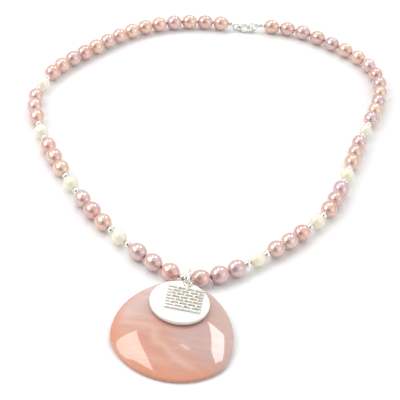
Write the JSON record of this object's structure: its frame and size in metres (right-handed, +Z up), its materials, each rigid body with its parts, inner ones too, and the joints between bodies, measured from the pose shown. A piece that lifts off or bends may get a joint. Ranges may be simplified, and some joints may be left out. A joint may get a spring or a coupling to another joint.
{
  "type": "pearl necklace",
  "caption": "Beaded pearl necklace with silver spacers, a claw clasp and a pendant of two stacked shell discs and an open lattice charm on one jump ring.",
  "frame": {"origin": "centre of the laid-out necklace's outline, on the surface that it rests on", "axes": "+Z up from that surface, +Y from the pendant towards the clasp, +X to the right"},
  "size_m": [0.1346, 0.211, 0.0084],
  "materials": {
    "pink_pearl": "lustrous nacre",
    "white_pearl": "lustrous nacre",
    "silver": "polished",
    "wire": "smooth",
    "spring_steel": "dull",
    "pink_shell": "polished mother-of-pearl",
    "white_shell": "polished mother-of-pearl"
  },
  "bodies": {
    "front_stretch": {"front_pearls": "pink_pearl", "centre_spacer": "silver", "front_wire": "wire"},
    "right_stretch_1": {"right_pearls_1": "pink_pearl", "right_white_pearl_1": "white_pearl", "right_spacers_1": "silver", "right_wire_1": "wire"},
    "right_stretch_2": {"right_pearls_2": "pink_pearl", "right_white_pearl_2": "white_pearl", "right_spacers_2": "silver", "right_wire_2": "wire"},
    "right_stretch_3": {"right_pearls_3": "pink_pearl", "right_white_pearl_3": "white_pearl", "right_spacers_3": "silver", "right_wire_3": "wire"},
    "right_stretch_4": {"right_pearls_4": "pink_pearl", "right_white_pearl_4": "white_pearl", "right_spacers_4": "silver", "right_wire_4": "wire"},
    "right_stretch_5": {"right_pearls_5": "pink_pearl", "right_wire_5": "wire"},
    "right_stretch_6": {"right_pearls_6": "pink_pearl", "right_wire_6": "wire", "right_crimp": "silver", "right_end_loop": "wire"},
    "left_stretch_1": {"left_pearls_1": "pink_pearl", "left_white_pearl_1": "white_pearl", "left_spacers_1": "silver", "left_wire_1": "wire"},
    "left_stretch_2": {"left_pearls_2": "pink_pearl", "left_white_pearl_2": "white_pearl", "left_spacers_2": "silver", "left_wire_2": "wire"},
    "left_stretch_3": {"left_pearls_3": "pink_pearl", "left_white_pearl_3": "white_pearl", "left_spacers_3": "silver", "left_wire_3": "wire"},
    "left_stretch_4": {"left_pearls_4": "pink_pearl", "left_white_pearl_4": "white_pearl", "left_spacers_4": "silver", "left_wire_4": "wire"},
    "left_stretch_5": {"left_pearls_5": "pink_pearl", "left_wire_5": "wire"},
    "left_stretch_6": {"left_pearls_6": "pink_pearl", "left_wire_6": "wire", "left_crimp": "silver", "left_end_loop": "wire"},
    "claw": {"claw_body": "silver", "claw_pin": "silver", "claw_spring": "spring_steel"},
    "lever": {"claw_lever": "silver"},
    "catch": {"catch_ring": "silver"},
    "ring": {"jump_ring": "silver"},
    "shell": {"shell_disc": "pink_shell"},
    "plate": {"white_disc": "white_shell"},
    "charm": {"charm": "silver"}
  },
  "joints": [
    {"name": "right_bend_1", "type": "hinge", "parent": "front_stretch", "child": "right_stretch_1", "pos_m": [0.01899, -0.052, 0.003], "axis": [0, 0, 1], "range_deg": [-5.5, 5.5]},
    {"name": "right_bend_2", "type": "hinge", "parent": "right_stretch_1", "child": "right_stretch_2", "pos_m": [0.03868, -0.02798, 0.003], "axis": [0, 0, 1], "range_deg": [-4.5, 4.5]},
    {"name": "right_bend_3", "type": "hinge", "parent": "right_stretch_2", "child": "right_stretch_3", "pos_m": [0.05038, 0.00057, 0.003], "axis": [0, 0, 1], "range_deg": [-3, 3]},
    {"name": "right_bend_4", "type": "hinge", "parent": "right_stretch_3", "child": "right_stretch_4", "pos_m": [0.0569, 0.03097, 0.003], "axis": [0, 0, 1], "range_deg": [-4.5, 4.5]},
    {"name": "right_bend_5", "type": "hinge", "parent": "right_stretch_4", "child": "right_stretch_5", "pos_m": [0.06449, 0.06788, 0.003], "axis": [0, 0, 1], "range_deg": [-10, 10]},
    {"name": "right_bend_6", "type": "hinge", "parent": "right_stretch_5", "child": "right_stretch_6", "pos_m": [0.04746, 0.0946, 0.003], "axis": [0, 0, 1], "range_deg": [-6, 6]},
    {"name": "left_bend_1", "type": "hinge", "parent": "front_stretch", "child": "left_stretch_1", "pos_m": [-0.01818, -0.05207, 0.003], "axis": [0, 0, 1], "range_deg": [-6, 6]},
    {"name": "left_bend_2", "type": "hinge", "parent": "left_stretch_1", "child": "left_stretch_2", "pos_m": [-0.03933, -0.0294, 0.003], "axis": [0, 0, 1], "range_deg": [-1.5, 1.5]},
    {"name": "left_bend_3", "type": "hinge", "parent": "left_stretch_2", "child": "left_stretch_3", "pos_m": [-0.05564, -0.00296, 0.003], "axis": [0, 0, 1], "range_deg": [-4.5, 4.5]},
    {"name": "left_bend_4", "type": "hinge", "parent": "left_stretch_3", "child": "left_stretch_4", "pos_m": [-0.06442, 0.0265, 0.003], "axis": [0, 0, 1], "range_deg": [-6, 6]},
    {"name": "left_bend_5", "type": "hinge", "parent": "left_stretch_4", "child": "left_stretch_5", "pos_m": [-0.05053, 0.06108, 0.003], "axis": [0, 0, 1], "range_deg": [-2, 2]},
    {"name": "left_bend_6", "type": "hinge", "parent": "left_stretch_5", "child": "left_stretch_6", "pos_m": [-0.02959, 0.08698, 0.003], "axis": [0, 0, 1], "range_deg": [-4, 4]},
    {"name": "claw_swivel", "type": "hinge", "parent": "left_stretch_6", "child": "claw", "pos_m": [0.00557, 0.09941, 0.00135], "axis": [0, 0, 1], "range_deg": [-1, 1]},
    {"name": "catch_swivel", "type": "hinge", "parent": "right_stretch_6", "child": "catch", "pos_m": [0.01272, 0.10093, 0.003], "axis": [0, 0, 1], "range_deg": [-1, 1]},
    {"name": "lever_press", "type": "hinge", "parent": "claw", "child": "lever", "pos_m": [0.0085, 0.10123, 0.00135], "axis": [0, 0, 1], "range_deg": [-20, 0], "stiffness_Nm_per_rad": 0.00001, "springref_deg": 11.46},
    {"name": "ring_swing", "type": "hinge", "parent": "front_stretch", "child": "ring", "pos_m": [0.00188, -0.06287, 0.003], "axis": [-1, 0, 0], "range_deg": [0, 80]},
    {"name": "shell_lift", "type": "hinge", "parent": "ring", "child": "shell", "pos_m": [0.00188, -0.06542, 0.00425], "axis": [-1, 0, 0], "range_deg": [0, 20]},
    {"name": "plate_lift", "type": "hinge", "parent": "shell", "child": "plate", "pos_m": [0.00188, -0.06542, 0.00425], "axis": [-1, 0, 0], "range_deg": [0, 30]},
    {"name": "charm_lift", "type": "hinge", "parent": "plate", "child": "charm", "pos_m": [0.00188, -0.06542, 0.00425], "axis": [-1, 0, 0], "range_deg": [0, 30]}
  ],
  "couplings": [
    {"joint": "right_bend_1", "follows": "right_bend_5", "ratio": -0.517},
    {"joint": "right_bend_2", "follows": "right_bend_5", "ratio": 0.427},
    {"joint": "right_bend_3", "follows": "right_bend_5", "ratio": 0.261},
    {"joint": "right_bend_4", "follows": "right_bend_5", "ratio": -0.408},
    {"joint": "right_bend_6", "follows": "right_bend_5", "ratio": -0.583},
    {"joint": "left_bend_1", "follows": "right_bend_5", "ratio": 0.577},
    {"joint": "left_bend_2", "follows": "right_bend_5", "ratio": -0.102},
    {"joint": "left_bend_3", "follows": "right_bend_5", "ratio": -0.403},
    {"joint": "left_bend_4", "follows": "right_bend_5", "ratio": -0.584},
    {"joint": "left_bend_5", "follows": "right_bend_5", "ratio": 0.199},
    {"joint": "left_bend_6", "follows": "right_bend_5", "ratio": 0.378},
    {"joint": "claw_swivel", "follows": "right_bend_5", "ratio": 0.048},
    {"joint": "catch_swivel", "follows": "right_bend_5", "ratio": -0.061}
  ]
}
